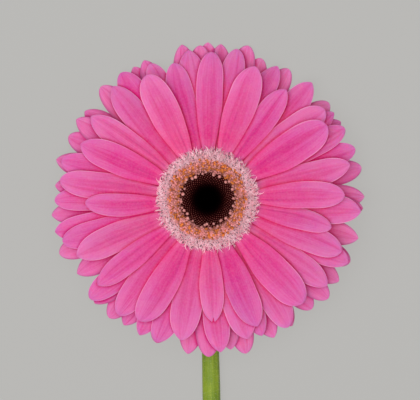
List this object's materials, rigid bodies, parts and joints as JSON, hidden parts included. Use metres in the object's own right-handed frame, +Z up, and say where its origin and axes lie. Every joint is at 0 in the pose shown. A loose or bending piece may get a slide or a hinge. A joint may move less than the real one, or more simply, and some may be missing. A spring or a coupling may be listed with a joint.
{
  "type": "cut gerbera",
  "caption": "Double daisy-type cut flower with layered ray florets round a dark disc, on a leafless stem bent under the head, lying on a surface.",
  "frame": {"origin": "middle of the footprint, on the surface the flower lies on", "axes": "+Y along the flower from the cut end of the stem to the head, +Z up; the face of the head looks up, tipped 15 degrees towards +Y"},
  "size_m": [0.1112, 0.4012, 0.0381],
  "materials": {
    "stem": "matte",
    "bract": "matte",
    "receptacle": "matte",
    "ray": "satin",
    "back_ray": "satin",
    "trans_floret": "matte",
    "anther": "matte",
    "disc_bud": "satin"
  },
  "bodies": {
    "root": {"back_rays": "back_ray", "disc_buds": "disc_bud", "front_ray_01": "ray", "front_ray_02": "ray", "front_ray_03": "ray", "front_ray_04": "ray", "front_ray_05": "ray", "front_ray_06": "ray", "front_ray_07": "ray", "front_ray_08": "ray", "front_ray_09": "ray", "front_ray_10": "ray", "front_ray_11": "ray", "front_ray_12": "ray", "front_ray_13": "ray", "front_ray_14": "ray", "inner_bracts": "bract", "open_disc_florets": "anther", "outer_bracts": "bract", "receptacle": "receptacle", "second_ray_01": "ray", "second_ray_02": "ray", "second_ray_03": "ray", "second_ray_04": "ray", "second_ray_05": "ray", "second_ray_06": "ray", "second_ray_07": "ray", "second_ray_08": "ray", "second_ray_09": "ray", "second_ray_10": "ray", "second_ray_11": "ray", "second_ray_12": "ray", "second_ray_13": "ray", "stem": "stem", "third_ray_01": "ray", "third_ray_02": "ray", "third_ray_03": "ray", "third_ray_04": "ray", "third_ray_05": "ray", "third_ray_06": "ray", "third_ray_07": "ray", "third_ray_08": "ray", "third_ray_09": "ray", "third_ray_10": "ray", "third_ray_11": "ray", "third_ray_12": "ray", "third_ray_13": "ray", "third_ray_14": "ray", "third_ray_15": "ray", "third_ray_16": "ray", "third_ray_17": "ray", "third_ray_18": "ray", "third_ray_19": "ray", "third_ray_20": "ray", "trans_florets": "trans_floret"}
  },
  "joints": []
}
